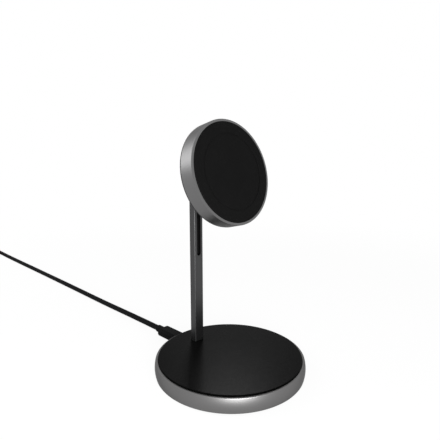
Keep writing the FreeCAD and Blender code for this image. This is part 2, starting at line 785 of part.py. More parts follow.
def ring_magnets():
    step = 360.0 / MAGNET_COUNT
    angle = step - math.degrees(MAGNET_SPACING / magnet_inner)
    sector = turned([(magnet_inner, magnet_level, 0), (magnet_outer, magnet_level, 0),
                     (magnet_outer, face_bottom_level, 0), (magnet_inner, face_bottom_level, 0)], angle)
    magnets = []
    for index in range(MAGNET_COUNT):
        magnet = sector.copy()
        magnet.rotate(V(0, 0, 0), V(0, 0, 1), step * index)
        magnets.append(magnet)
    return Part.makeCompound(magnets)


def head_ferrite():
    return disc(head_coil_radius, yoke_level, head_coil_level)


def head_coil():
    return coil_ring(HEAD_COIL_BORE / 2, head_coil_radius, head_coil_level, face_bottom_level)


def head_face():
    face = turned([(0, face_bottom_level, 0), (inner_radius, face_bottom_level, 0),
                   (inner_radius, face_level, FACE_ROUND), (0, face_level, 0)])
    groove = ring(FACE_GROOVE_RADIUS - FACE_GROOVE_WIDTH / 2, FACE_GROOVE_RADIUS + FACE_GROOVE_WIDTH / 2,
                  face_level - FACE_GROOVE_DEPTH, face_level)
    return face.cut(groove)


# Lead pieces

def plug_body():
    """Plug grip with its strain-relief collar, from its front face along +Y."""
    grip = bar_along_y(PLUG_WIDTH, PLUG_HEIGHT, PLUG_HEIGHT / 2 - PLUG_SIDE_FLAT, 0, PLUG_LENGTH, 0)
    rear = edges_at(grip, lambda edge: edge.BoundBox.YMin > PLUG_LENGTH - EDGE_TOL)
    grip = grip.makeFillet(PLUG_ROUND, rear)
    collar = Part.makeCylinder(COLLAR_DIAMETER / 2, COLLAR_LENGTH, V(0, PLUG_LENGTH, 0), V(0, 1, 0))
    return grip.fuse(collar).removeSplitter()


def plug_tip():
    """Metal plug tip in front of the grip, hollow and open at its front."""
    shell = bar_along_y(TIP_WIDTH, TIP_HEIGHT, TIP_HEIGHT / 2, -TIP_LENGTH, 0, 0)
    hollow = bar_along_y(TIP_WIDTH - 2 * TIP_WALL, TIP_HEIGHT - 2 * TIP_WALL, TIP_HEIGHT / 2 - TIP_WALL,
                         -TIP_LENGTH, -TIP_WALL, 0)
    return shell.cut(hollow)


def tube(name, points):
    """Round lead along straight runs joined by tangent arcs, each as large as its runs allow."""
    spots = [V(*point) for point in points]
    edges = []
    radii = []
    last = spots[0]
    for before, corner, after in zip(spots, spots[1:], spots[2:]):
        back = before - corner
        ahead = after - corner
        trim = BEND_SHARE * min(back.Length, ahead.Length)
        back.normalize()
        ahead.normalize()
        half = back.getAngle(ahead) / 2
        radius = trim * math.tan(half)
        middle = back + ahead
        middle.normalize()
        start, end = corner + back * trim, corner + ahead * trim
        nearest = corner + middle * (radius / math.sin(half) - radius)
        edges.append(Part.LineSegment(last, start).toShape())
        edges.append(Part.Arc(start, nearest, end).toShape())
        radii.append(round(radius))
        last = end
    edges.append(Part.LineSegment(last, spots[-1]).toShape())
    path = Part.Wire(edges)
    section = Part.Wire(Part.makeCircle(CABLE_DIAMETER / 2, spots[0], spots[1] - spots[0]))
    solid = path.makePipeShell([section], True, False)
    expected = math.pi * CABLE_DIAMETER ** 2 / 4 * path.Length
    ratio = round(solid.Volume / expected, 5)
    print(name, "length", round(path.Length, 1), "radii", radii, "volume ratio", ratio)
    return solid


def cable():
    return tube("cable", [(0, plug_end, socket_z)] + CABLE_ROUTE)


def cable_tail():
    return tube("cable_tail", TAIL_ROUTE)


def coil_section(grow):
    """Corners of the wound coil's section, or of the tie around it."""
    width = (COIL_COLUMNS - 1) * TURN_PITCH + CABLE_DIAMETER + 2 * grow
    height = (COIL_LAYERS - 1) * TURN_PITCH + CABLE_DIAMETER + 2 * grow
    level = CABLE_ROUTE[-1][2] + (COIL_LAYERS - 1) * TURN_PITCH / 2
    return box_corners(width, height, 0, (COIL_MEAN_DIAMETER / 2, level))


def cable_coil():
    return turned(coil_section(0)).translated(V(*COIL_CENTRE, 0))


def coil_tie():
    band = turned(coil_section(RUN_GAP + TIE_THICKNESS), TIE_ANGLE)
    band = band.cut(turned(coil_section(RUN_GAP)))
    band.rotate(V(0, 0, 0), V(0, 0, 1), 90 - TIE_ANGLE / 2)
    return band.translated(V(*COIL_CENTRE, 0))


def far_plug(piece):
    x, y, level = TAIL_ROUTE[-1]
    return piece.translated(V(x, y - PLUG_LENGTH - COLLAR_LENGTH, level))


def near_plug(piece):
    return piece.translated(V(0, plug_face, socket_z))


fixed_pieces = {
    "base_rim": base_rim(),
    "charging_pad": charging_pad(),
    "pad_deck": pad_deck(),
    "pad_coil": pad_coil(),
    "pad_ferrite": pad_ferrite(),
    "base_board": base_board(),
    "board_parts": board_parts(),
    "socket_shell": socket_shell(),
    "socket_tongue": socket_tongue(),
    "base_weight": base_weight(),
    "bottom_cover": bottom_cover(),
    "cover_screws": cover_screws(),
    "foot_ring": foot_ring(),
    "stem": stem(),
    "stem_foot": stem_foot(),
    "stem_screws": stem_screws(),
    "stem_cap": stem_cap(),
    "stem_lead": stem_lead(),
    "slide_block": slide_block(),
    "brake_spring": brake_spring(),
    "slide_shoe": slide_shoe(),
    "arm": arm(),
    "arm_screws": arm_screws(),
    "plug_body": near_plug(plug_body()),
    "plug_tip": near_plug(plug_tip()),
    "cable": cable(),
    "cable_coil": cable_coil(),
    "coil_tie": coil_tie(),
    "cable_tail": cable_tail(),
    "far_plug_body": far_plug(plug_body()),
    "far_plug_tip": far_plug(plug_tip()),
}

head_pieces = {
    "hinge_pin": hinge_pin(),
    "hinge_washers": hinge_washers(),
    "hinge_bracket": hinge_bracket(),
    "bracket_screws": bracket_screws(),
    "head_back": head_back(),
    "head_rim": head_rim(),
    "head_board": head_board(),
    "head_parts": head_parts(),
    "head_tray": head_tray(),
    "magnet_yoke": magnet_yoke(),
    "ring_magnets": ring_magnets(),
    "head_ferrite": head_ferrite(),
    "head_coil": head_coil(),
    "head_face": head_face(),
}

lean = FreeCAD.Rotation(V(1, 0, 0), 90 - HEAD_TILT)
head_place = FreeCAD.Placement(V(0, hinge_y, HINGE_HEIGHT), lean).toMatrix()

os.makedirs("parts", exist_ok=True)
for node, shape in fixed_pieces.items():
    shape.exportStep("parts/" + node + ".step")
for node, shape in head_pieces.items():
    shape.transformed(head_place).exportStep("parts/" + node + ".step")
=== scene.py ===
"""Looks of a charging stand: finishes for its solids, a wound lead, threads, windings and a stage."""
import json
import math

import bmesh
import bpy
from bpy.props import FloatProperty, FloatVectorProperty, IntProperty, PointerProperty
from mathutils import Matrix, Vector


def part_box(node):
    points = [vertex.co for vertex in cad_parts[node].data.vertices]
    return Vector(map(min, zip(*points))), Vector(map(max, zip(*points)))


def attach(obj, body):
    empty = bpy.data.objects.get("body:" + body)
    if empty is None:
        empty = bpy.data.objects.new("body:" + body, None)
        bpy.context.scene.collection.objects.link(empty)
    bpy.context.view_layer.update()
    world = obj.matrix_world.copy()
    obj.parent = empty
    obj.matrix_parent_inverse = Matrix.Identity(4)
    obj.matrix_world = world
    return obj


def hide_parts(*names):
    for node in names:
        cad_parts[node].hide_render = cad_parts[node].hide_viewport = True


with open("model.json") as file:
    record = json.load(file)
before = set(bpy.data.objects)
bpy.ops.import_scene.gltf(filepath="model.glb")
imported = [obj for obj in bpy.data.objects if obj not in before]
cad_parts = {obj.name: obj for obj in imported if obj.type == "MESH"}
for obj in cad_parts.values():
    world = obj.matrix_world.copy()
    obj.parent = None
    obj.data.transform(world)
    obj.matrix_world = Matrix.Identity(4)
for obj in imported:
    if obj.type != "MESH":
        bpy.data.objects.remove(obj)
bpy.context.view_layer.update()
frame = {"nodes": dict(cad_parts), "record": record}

bl_info = {
    "name": "Charging stand looks",
    "version": (1, 0, 0),
    "blender": (4, 5, 0),
    "location": "3D View > Sidebar > Charging stand",
    "description": "Finishes, lead, screws and stage for a charging stand with a sliding, tilting head",
    "category": "Object",
}

# Places that come from the frame: the lead's exit at its plug's collar, the head's axis and the stem
PLUG_LOW, PLUG_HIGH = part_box("plug_body")
LEAD_EXIT = Vector(((PLUG_LOW.x + PLUG_HIGH.x) / 2, PLUG_HIGH.y, (PLUG_LOW.z + PLUG_HIGH.z) / 2))
MOUNTS = {mount["name"]: mount for mount in frame["record"]["mounts"]}
FACE_AXIS = Vector(MOUNTS["magnet_face"]["axis"])
STEM_LOW, STEM_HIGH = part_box("stem")

# The stem's wall and how far into it the channel's finish is taken, in metres, then the painted shade
# in the channel as a share of the outside's colour, and the roughness that is added there
STEM_WALL = 0.001
WALL_MARGIN = 0.00005
CHANNEL_PAINTED_SHADE = 0.22
CHANNEL_DULLNESS = 0.5

# The lead's route on the table, from the plug to the coil and from the coil to the far plug, in metres
LEAD_ROUTE = [
    (0.0, 0.093, 0.0048),
    (0.00095, 0.121, 0.0038),
    (0.00245, 0.155, 0.00225),
    (0.00285, 0.200, 0.00202),
    (0.0027, 0.250, 0.0020),
    (0.0023, 0.305, 0.0020),
    (0.0018, 0.355, 0.0020),
    (0.00145, 0.395, 0.0024),
]
TAIL_ROUTE = [
    (-0.0510, 0.405, 0.0061),
    (-0.0519, 0.388, 0.0044),
    (-0.0526, 0.372, 0.0029),
    (-0.0526, 0.356, 0.0029),
]

# The coil: its middle in metres, the points in each turn, its turns and columns, and the shares of a turn
# over which the lead moves out, up or in
COIL_CENTRE = Vector((-0.0247, 0.422, 0.00265))
COIL_POINTS = 24
COIL_TURNS = 5.5
COIL_COLUMNS = 3
ROW_OUT = (0.50, 0.65)
ROW_UP = (0.70, 0.82)
ROW_IN = (0.85, 1.00)

# The strap: its distance from the lead in metres, its start as a share of the coil's half width, the steps
# of its last stretch, and the share of that stretch in which it climbs onto its own start
STRAP_GAP = 0.00005
STRAP_START = 0.2
CLIMB_STEPS = 6
CLIMB_SHARE = 0.7

# Meshes: points nearer than this are welded, in metres, and edges sharper than this stay crisp
WELD_DISTANCE = 1e-6
SHARP_ANGLE = math.radians(35)

# Screws: the digits to which their levels are read, and how far a point may lie from its level, in
# metres; the socket's depth and the head's edge as shares of the head's height; the socket's end face as
# a share of its width; and the rows of points in one turn of thread
LEVEL_DIGITS = 6
LEVEL_TOLERANCE = 1e-5
SOCKET_DEPTH = 0.7
HEAD_EDGE = 0.12
SOCKET_END = 0.6
THREAD_ROWS = 8

# Windings: half the wire's width as a share of the distance between turns, at most
WIRE_SHARE = 0.49

# The photograph's frame, and where its camera stood
PHOTO_PIXELS = 440
FOCAL_PIXELS = 438.0
SENSOR_MM = 36.0
CAMERA_PLACE = (-0.187425, -0.17395, 0.145743)
CAMERA_HEADING = math.radians(-45.733)
CAMERA_PITCH = math.radians(-10.82)

# Softboxes: place, point that each faces, width and height, in metres
FRONT_BOX = ((-0.34, -0.456, 0.13), (0, 0, 0.01), 0.32, 0.20)
BACK_BOX = ((-0.34, 0.46, 0.46), (0, 0, 0.25), 0.40, 0.50)
SHEEN_BOX = ((0.36, 0.335, 0.46), (0, 0, 0.01), 0.12, 0.12)

# The floor's side, how far it lies under the object, and the camera's nearest distance, in metres
FLOOR_SIDE = 8.0
FLOOR_DROP = 0.0002
NEAR_CLIP = 0.01


def colour_property(name, default, description):
    """A colour with three channels from 0 to 1."""
    return FloatVectorProperty(name=name, description=description, default=default, size=3,
                               min=0.0, max=1.0, subtype="COLOR")


def length_property(name, default, description):
    """A length in metres."""
    return FloatProperty(name=name, description=description, default=default, min=0.0,
                         precision=5, unit="LENGTH")


def share_property(name, default, description):
    """A share from 0 to 1."""
    return FloatProperty(name=name, description=description, default=default, min=0.0, max=1.0,
                         subtype="FACTOR")


def count_property(name, default, description):
    """A whole number of at least 1."""
    return IntProperty(name=name, description=description, default=default, min=1)


def light_property(name, default, description, unit="POWER"):
    """The power of a light, or its plain strength."""
    return FloatProperty(name=name, description=description, default=default, min=0.0, unit=unit)


class FinishSettings(bpy.types.PropertyGroup):
    """Colours and gloss of the stand's surfaces."""

    rim: colour_property("Base rim", (0.162, 0.160, 0.160), "Anodised aluminium round the base")
    head: colour_property("Head rim", (0.176, 0.175, 0.176), "Anodised aluminium round the head")
    stem: colour_property("Stem", (0.068, 0.068, 0.069), "Dark anodised stem, cap and arm")
    metal_roughness: share_property("Metal roughness", 0.38, "Roughness of the blasted metal")
    edge: colour_property("Metal edge", (0.45, 0.45, 0.45), "Light that the metal returns at a low angle")
    pad: colour_property("Pad", (0.004, 0.004, 0.004), "Soft-touch pad and head face")
    plastic: colour_property("Plastic", (0.010, 0.010, 0.0105), "Black moulded covers and slides")
    jacket: colour_property("Lead", (0.0045, 0.0045, 0.0047), "Jacket of the lead and its plugs")
    rubber: colour_property("Foot", (0.022, 0.022, 0.022), "Rubber foot under the base")
    steel: colour_property("Steel", (0.50, 0.50, 0.51), "Screws, pin, spring and plug tips")
    zinc: colour_property("Weight", (0.36, 0.37, 0.39), "Zinc-plated weight, yoke and stem foot")
    copper: colour_property("Winding", (0.62, 0.27, 0.12), "Enamelled copper wire")
    ferrite: colour_property("Ferrite", (0.045, 0.045, 0.05), "Pressed ferrite plates")
    board: colour_property("Board", (0.012, 0.10, 0.045), "Solder mask of the boards")
    nickel: colour_property("Magnets", (0.60, 0.59, 0.57), "Nickel-plated magnets")
    shell: colour_property("Inner plastic", (0.19, 0.19, 0.20), "Deck and tray inside the housings")
    flex: colour_property("Flat lead", (0.010, 0.010, 0.010), "Black film of the flat lead in the stem")
    strap: colour_property("Strap", (0.016, 0.016, 0.017), "Woven strap round the coil")


class LeadSettings(bpy.types.PropertyGroup):
    """Sizes of the lead, its coil and the strap that holds it."""

    diameter: length_property("Diameter", 0.0040, "Outer diameter of the lead")
    length: length_property("Length", 1.18, "Length of the lead between its two plugs")
    coil_diameter: length_property("Coil diameter", 0.044, "Coil's diameter at the middle of its turns")
    pitch: length_property("Pitch", 0.0041, "Distance between turns that lie beside each other")
    strap_width: length_property("Strap width", 0.0077, "Width of the strap")
    strap_thickness: length_property("Strap thickness", 0.0005, "Thickness of the strap")
    strap_overlap: length_property("Strap overlap", 0.007, "Length of strap that is pressed onto itself")


class PartSettings(bpy.types.PropertyGroup):
    """Sizes of the threads and sockets, and turns of the windings."""

    thread_pitch: length_property("Thread pitch", 0.0004, "Pitch of the screw threads")
    thread_depth: length_property("Thread depth", 0.00016, "Depth of the screw threads")
    socket_share: share_property("Socket", 0.5, "Hexagon socket's width as a share of the screw's head")
    pad_turns: count_property("Pad winding", 11, "Turns of the pad's winding")
    head_turns: count_property("Head winding", 9, "Turns of the head's winding")


class StageSettings(bpy.types.PropertyGroup):
    """Floor, sky and lights."""

    floor: colour_property("Floor", (0.90, 0.90, 0.90), "Pale floor")
    floor_glow: share_property("Floor glow", 0.92, "Share of plain white in the floor beside the object")
    fade_start: length_property("Fade start", 0.20, "Distance where the floor begins to turn plain white")
    fade_end: length_property("Fade end", 0.55, "Distance from which the floor is all plain white")
    sky: light_property("Sky", 0.55, "Strength of the light from all round", unit="NONE")
    front_power: light_property("Front light", 6.5, "Power behind the camera")
    back_power: light_property("Back light", 2.2, "Power behind, on the left")
    sheen_power: light_property("Sheen light", 2.6, "Power high behind, for the pad's sheen")


class Finish:
    """A new material round one principled shader, with short calls that add its texture nodes."""

    def __init__(self, name, fixed):
        self.material = bpy.data.materials.new(name)
        self.material.use_nodes = True
        self.tree = self.material.node_tree
        self.shader = self.tree.nodes["Principled BSDF"]
        for socket, value in fixed.items():
            self.shader.inputs[socket].default_value = value
        self.place = self.add("TexCoord").outputs["Object"]
        self.normal = None

    def add(self, kind, inputs=None, **options):
        """A node in this finish."""
        return add_node(self.tree, kind, inputs, **options)

    def stretched(self, stretch):
        """The object's own coordinates, scaled along each axis."""
        return self.add("Mapping", {"Vector": self.place, "Scale": stretch}).outputs["Vector"]

    def noise(self, scale, detail=2.0, stretch=(1, 1, 1)):
        """Soft noise, with so many spots to the metre."""
        inputs = {"Vector": self.stretched(stretch), "Scale": scale, "Detail": detail}
        return self.add("TexNoise", inputs).outputs["Fac"]

    def cells(self, scale, feature="F1"):
        """Distance within a pattern of cells."""
        inputs = {"Vector": self.place, "Scale": scale}
        return self.add("TexVoronoi", inputs, feature=feature).outputs["Distance"]

    def stripes(self, scale, direction):
        """Even stripes across one axis."""
        inputs = {"Vector": self.place, "Scale": scale}
        return self.add("TexWave", inputs, bands_direction=direction).outputs["Fac"]

    def spread(self, mask, low, high, start=0.0, end=1.0):
        """A mask's range from start to end, taken to low and high."""
        inputs = {"Value": mask, "From Min": start, "From Max": end, "To Min": low, "To Max": high}
        return self.add("MapRange", inputs).outputs["Result"]

    def blend(self, mask, first, second):
        """A colour between two, which may be colours or sockets."""
        mix = self.add("Mix", {0: mask, 6: first, 7: second}, data_type="RGBA")
        return mix.outputs[2]

    def combine(self, operation, *values):
        """The result of one operation on values or sockets."""
        return self.add("Math", dict(enumerate(values)), operation=operation).outputs[0]

    def shaft(self, middle, reach):
        """1 inside an upright shaft with this middle and half size, and 0 outside it."""
        place = self.add("SeparateXYZ", {"Vector": self.place}).outputs
        across = self.combine("COMPARE", place["X"], middle.x, reach.x)
        along = self.combine("COMPARE", place["Y"], middle.y, reach.y)
        return self.combine("MULTIPLY", across, along)

    def drive(self, socket, value):
        """Links a value to an input of the shader."""
        self.tree.links.new(value, self.shader.inputs[socket])

    def tone(self, mask, colour, low, high):
        """Varies the colour with a mask, between two factors."""
        self.drive("Base Color", self.blend(mask, shade(colour, low), shade(colour, high)))

    def gloss(self, mask, low, high):
        """Varies the roughness with a mask, between two values."""
        self.drive("Roughness", self.spread(mask, low, high))

    def relief(self, mask, depth, strength=1.0):
        """Fine surface relief; a later one lies on the earlier ones."""
        inputs = {"Height": mask, "Distance": depth, "Strength": strength}
        if self.normal is not None:
            inputs["Normal"] = self.normal
        self.normal = self.add("Bump", inputs).outputs["Normal"]
        self.drive("Normal", self.normal)


def add_node(tree, kind, inputs=None, **options):
    """A shader node with its options set and its inputs given values or linked to sockets."""
    node = tree.nodes.new("ShaderNode" + kind)
    for option, value in options.items():
        setattr(node, option, value)
    for socket, value in (inputs or {}).items():
        if isinstance(value, bpy.types.NodeSocket):
            tree.links.new(value, node.inputs[socket])
        else:
            node.inputs[socket].default_value = value
    return node


def shade(colour, factor=1.0):
    """A colour made darker or lighter by a factor, with its alpha."""
    return (*[channel * factor for channel in colour], 1.0)


def blasted_metal(name, colour, edge, roughness):
    """Blasted and anodised aluminium: a fine even grain with faint clouds in its tone."""
    finish = Finish(name, {"Metallic": 1.0, "Specular Tint": shade(edge)})
    grain = finish.noise(scale=4200, detail=3)
    cloud = finish.noise(scale=42)
    finish.tone(cloud, colour, 0.94, 1.06)
    finish.gloss(grain, roughness - 0.06, roughness + 0.06)
    finish.relief(grain, depth=0.00003, strength=0.25)
    return finish.material


def drawn_metal(name, colour, edge, roughness):
    """Anodised aluminium, extruded: faint streaks, fine grain, and a dull channel darkened by painted
    shade.
    """
    finish = Finish(name, {"Metallic": 1.0, "Specular Tint": shade(edge)})
    streaks = finish.noise(scale=2400, detail=4, stretch=(1, 1, 0.012))
    grain = finish.noise(scale=4600)
    inset = STEM_WALL - WALL_MARGIN
    reach = (STEM_HIGH - STEM_LOW) / 2 - Vector((inset, inset, 0))
    channel = finish.shaft((STEM_LOW + STEM_HIGH) / 2, reach)
    tone = finish.blend(streaks, shade(colour, 0.90), shade(colour, 1.10))
    # Painted shade: the channel's colour is darkened to stand in for the shade that falls inside it
    finish.drive("Base Color", finish.blend(channel, tone, shade(colour, CHANNEL_PAINTED_SHADE)))
    outside = finish.spread(grain, roughness - 0.05, roughness + 0.05)
    dullness = finish.spread(channel, 0.0, CHANNEL_DULLNESS)
    finish.drive("Roughness", finish.combine("ADD", outside, dullness))
    finish.relief(streaks, depth=0.00002, strength=0.2)
    finish.relief(grain, depth=0.00002, strength=0.2)
    return finish.material


def soft_touch(name, colour):
    """Soft-touch rubber skin: dark satin, with a very fine pebble and a little uneven gloss."""
    finish = Finish(name, {"Specular IOR Level": 0.007})
    pebble = finish.cells(scale=5200)
    cloud = finish.noise(scale=55, detail=3)
    finish.tone(cloud, colour, 0.88, 1.14)
    finish.gloss(cloud, 0.24, 0.30)
    finish.relief(pebble, depth=0.00004, strength=0.3)
    return finish.material


def moulded_plastic(name, colour, roughness):
    """Plastic from a spark-eroded mould: a fine matt pebble."""
    finish = Finish(name, {"Specular IOR Level": 0.12})
    pebble = finish.noise(scale=3600, detail=3)
    cloud = finish.noise(scale=60)
    finish.tone(cloud, colour, 0.86, 1.16)
    finish.gloss(pebble, roughness - 0.08, roughness + 0.08)
    finish.relief(pebble, depth=0.00005, strength=0.35)
    return finish.material


def lead_jacket(name, colour):
    """Satin jacket of the lead: smooth, with soft dull patches from handling."""
    finish = Finish(name, {"Specular IOR Level": 0.012})
    patches = finish.noise(scale=130, detail=3)
    grain = finish.noise(scale=3000)
    finish.tone(patches, colour, 0.85, 1.18)
    finish.gloss(patches, 0.36, 0.50)
    finish.relief(grain, depth=0.00002, strength=0.2)
    return finish.material


def woven_strap(name, colour):
    """Woven strap: ribs across its width under a short nap."""
    finish = Finish(name, {"Sheen Weight": 0.25, "Sheen Roughness": 0.6})
    ribs = finish.stripes(scale=900, direction="X")
    nap = finish.noise(scale=6000, detail=3)
    finish.tone(nap, colour, 0.7, 1.5)
    finish.gloss(nap, 0.8, 0.95)
    finish.relief(ribs, depth=0.00008, strength=0.5)
    finish.relief(nap, depth=0.00008, strength=0.5)
    return finish.material


def matt_rubber(name, colour):
    """Rubber foot: dull, with a slight bloom and specks."""
    finish = Finish(name, {"Specular IOR Level": 0.35})
    bloom = finish.noise(scale=90, detail=4)
    specks = finish.noise(scale=2400, detail=2)
    finish.tone(bloom, colour, 0.8, 1.3)
    finish.gloss(bloom, 0.72, 0.86)
    finish.relief(specks, depth=0.00006, strength=0.4)
    return finish.material


def turned_steel(name, colour):
    """Bright steel with fine tool marks."""
    finish = Finish(name, {"Metallic": 1.0})
    marks = finish.noise(scale=5200, detail=2, stretch=(1, 1, 0.15))
    finish.tone(marks, colour, 0.88, 1.08)
    finish.gloss(marks, 0.24, 0.40)
    finish.relief(marks, depth=0.00001, strength=0.2)
    return finish.material


def plated_zinc(name, colour):
    """Zinc plating: pale crystals of slightly different tones."""
    finish = Finish(name, {"Metallic": 1.0})
    crystals = finish.cells(scale=420)
    haze = finish.noise(scale=120, detail=3)
    finish.tone(crystals, colour, 0.82, 1.12)
    finish.gloss(haze, 0.38, 0.58)
    finish.relief(crystals, depth=0.00002, strength=0.2)
    return finish.material


def enamelled_copper(name, colour):
    """Copper wire under a clear enamel coat, darker in places."""
    finish = Finish(name, {"Metallic": 1.0, "Coat Weight": 0.6, "Coat Roughness": 0.15})
    stain = finish.noise(scale=260, detail=3)
    strands = finish.noise(scale=2600, detail=2)
    finish.tone(stain, colour, 0.78, 1.15)
    finish.gloss(stain, 0.22, 0.38)
    finish.relief(strands, depth=0.00003, strength=0.25)
    return finish.material


def pressed_ferrite(name, colour):
    """Pressed ferrite: dark grains with a dull sparkle."""
    finish = Finish(name, {"Metallic": 0.35})
    grains = finish.cells(scale=2600)
    finish.tone(grains, colour, 0.7, 1.5)
    finish.gloss(grains, 0.5, 0.75)
    finish.relief(grains, depth=0.00004, strength=0.3)
    return finish.material


def solder_mask(name, colour):
    """Circuit board: copper tracks that show as lighter lines through a glossy mask."""
    finish = Finish(name, {"Roughness": 0.3, "Coat Weight": 0.3})
    tracks = finish.spread(finish.cells(scale=300, feature="DISTANCE_TO_EDGE"), 1.0, 0.0, 0.06, 0.12)
    finish.tone(tracks, colour, 1.0, 2.2)
    finish.relief(tracks, depth=0.00004, strength=0.5)
    return finish.material


def printed_flex(name, colour):
    """Flat lead: tracks that show as lighter lines through black film."""
    finish = Finish(name, {"Roughness": 0.32, "Specular IOR Level": 0.12})
    tracks = finish.spread(finish.stripes(scale=330, direction="X"), 0.0, 1.0, 0.45, 0.55)
    finish.tone(tracks, colour, 1.0, 2.0)
    finish.relief(tracks, depth=0.00003, strength=0.5)
    return finish.material


def contact_tongue(name, colour, metal):
    """Socket tongue: black plastic with gold-toned contact strips."""
    finish = Finish(name, {"Roughness": 0.4})
    strips = finish.spread(finish.stripes(scale=320, direction="X"), 0.0, 1.0, 0.50, 0.60)
    finish.drive("Base Color", finish.blend(strips, shade(colour), shade(metal)))
    finish.drive("Metallic", strips)
    finish.relief(strips, depth=0.00003, strength=0.5)
    return finish.material


def dress(material, *nodes):
    """Gives a finish to solids of the frame, which stay as they are."""
    for node in nodes:
        for slot in frame["nodes"][node].material_slots:
            slot.material = material


def add_piece(name, data, material, body, slot, *nodes):
    """A new piece that stands for solids of the frame and rides on their body."""
    piece = bpy.data.objects.new(name, data)
    bpy.context.scene.collection.objects.link(piece)
    data.materials.append(material)
    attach(piece, body)
    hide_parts(*nodes)
    return piece


def mesh_from(shape, name):
    """A mesh with outward, smooth faces and crisp edges, from a bmesh that is then freed."""
    bmesh.ops.recalc_face_normals(shape, faces=shape.faces)
    mesh = bpy.data.meshes.new(name)
    shape.to_mesh(mesh)
    shape.free()
    mesh.polygons.foreach_set("use_smooth", [True] * len(mesh.polygons))
    mesh.set_sharp_from_angle(angle=SHARP_ANGLE)
    return mesh


def loft(shape, rows):
    """Skin over rows with the same number of points: closed loops, and closed at both ends."""
    loops = [[shape.verts.new(point) for point in row] for row in rows]
    for lower, upper in zip(loops, loops[1:]):
        for index in range(len(lower)):
            shape.faces.new((lower[index - 1], lower[index], upper[index], upper[index - 1]))
    shape.faces.new(loops[0])
    shape.faces.new(loops[-1])


def ease(value, start, end):
    """Smooth step from 0 at start to 1 at end."""
    share = min(max((value - start) / (end - start), 0.0), 1.0)
    return share * share * (3 - 2 * share)


def solid_points(node, axis):
    """The turn to axes whose +Z is the given axis, and each separate solid's points along them."""
    turn = axis.to_track_quat("Z", "Y").to_matrix()
    shape = bmesh.new()
    shape.from_mesh(frame["nodes"][node].data)
    bmesh.ops.remove_doubles(shape, verts=shape.verts, dist=WELD_DISTANCE)
    waiting = set(shape.verts)
    solids = []
    while waiting:
        reached = [waiting.pop()]
        for vert in reached:
            for edge in vert.link_edges:
                other = edge.other_vert(vert)
                if other in waiting:
                    waiting.remove(other)
                    reached.append(other)
        solids.append([turn.transposed() @ vert.co for vert in reached])
    shape.free()
    return turn, solids


def middle_of(points):
    """Middle of the points' box, seen along +Z."""
    return [(min(p[i] for p in points) + max(p[i] for p in points)) / 2 for i in (0, 1)]


def add_screw(shape, points, turn, settings, around=36):
    """Threaded screw with a hexagon socket, in place of a plain one with these points, head first."""
    x, y = middle_of(points)
    levels = sorted({round(point.z, LEVEL_DIGITS) for point in points})
    start, under, tip = levels[0], levels[1], levels[-1]

    def reach(level):
        ring = [point for point in points if abs(point.z - level) < LEVEL_TOLERANCE]
        return max(math.hypot(point.x - x, point.y - y) for point in ring)

    head, shank = reach(start), reach(tip)
    pitch, depth = settings.thread_pitch, settings.thread_depth
    flat = head * settings.socket_share
    angles = [math.tau * index / around for index in range(around)]

    def loop(radii, level):
        spots = [(x + r * math.cos(a), y + r * math.sin(a), level) for r, a in zip(radii, angles)]
        return [turn @ Vector(spot) for spot in spots]

    def circle(radius, level):
        return loop([radius] * around, level)

    def hexagon(width, level):
        return loop([width / math.cos(a % (math.pi / 3) - math.pi / 6) for a in angles], level)

    def thread(level):
        phases = [math.cos(math.tau * level / pitch - a) for a in angles]
        fade = ease(level, under, under + pitch) * ease(tip - level, 0, pitch)
        return loop([shank - depth * (fade * (1 - phase) / 2 + (1 - fade)) for phase in phases], level)

    floor = start + (under - start) * SOCKET_DEPTH
    edge = (under - start) * HEAD_EDGE
    rows = [hexagon(flat * SOCKET_END, floor), hexagon(flat, floor), hexagon(flat, start + edge / 2),
            hexagon(flat + edge / 2, start), circle(head - edge, start), circle(head, start + edge),
            circle(reach(under), under)]
    steps = math.ceil((tip - under) / pitch * THREAD_ROWS)
    rows += [thread(under + (tip - under) * index / steps) for index in range(steps + 1)]
    loft(shape, rows)


def add_winding(points, turn, turns, around=10, along=72):
    """Flat spiral of round wire that fills the ring given by its points."""
    x, y = middle_of(points)
    distances = [math.hypot(point.x - x, point.y - y) for point in points]
    low, high = min(point.z for point in points), max(point.z for point in points)
    wire = (high - low) / 2
    inner, outer = min(distances) + wire, max(distances) - wire
    rows = []
    for step in range(turns * along + 1):
        share = step / (turns * along)
        angle = math.tau * turns * share
        radius = inner + (outer - inner) * share
        width = min(wire, (outer - inner) / turns * WIRE_SHARE)
        row = []
        for index in range(around):
            bend = math.tau * index / around
            distance = radius + width * math.cos(bend)
            row.append(turn @ Vector((x + distance * math.cos(angle), y + distance * math.sin(angle),
                                      (low + high) / 2 + wire * math.sin(bend))))
        rows.append(row)
    shape = bmesh.new()
    loft(shape, rows)
    return shape


def coil_spot(turn, lead):
    """Point of the coil after so many turns: inwards on the lower row, then outwards on the upper."""
    whole = int(turn)
    share = turn - whole
    below = COIL_COLUMNS - 1
    if whole < below:
        column = whole + ease(share, *ROW_IN)
        row = 0.0
    elif whole == below:
        column = below
        row = ease(share, *ROW_UP)
    else:
        column = 2 * below + 1 - whole - ease(share, *ROW_OUT)
        row = 1.0
    outer = lead.coil_diameter / 2 + below * lead.pitch / 2
    radius = (outer - column * lead.pitch) / math.cos(math.pi / COIL_POINTS)
    angle = math.tau * share
    return COIL_CENTRE + Vector((radius * math.cos(angle), radius * math.sin(angle), row * lead.pitch))


def lead_points(lead):
    """Points that the lead follows, from its exit through the coil to the far plug."""
    count = int(COIL_TURNS * COIL_POINTS)
    route = [Vector(point) for point in LEAD_ROUTE]
    coil = [coil_spot(index / COIL_POINTS, lead) for index in range(count + 1)]
    tail = [Vector(point) for point in TAIL_ROUTE]
    return [LEAD_EXIT] + route + coil + tail


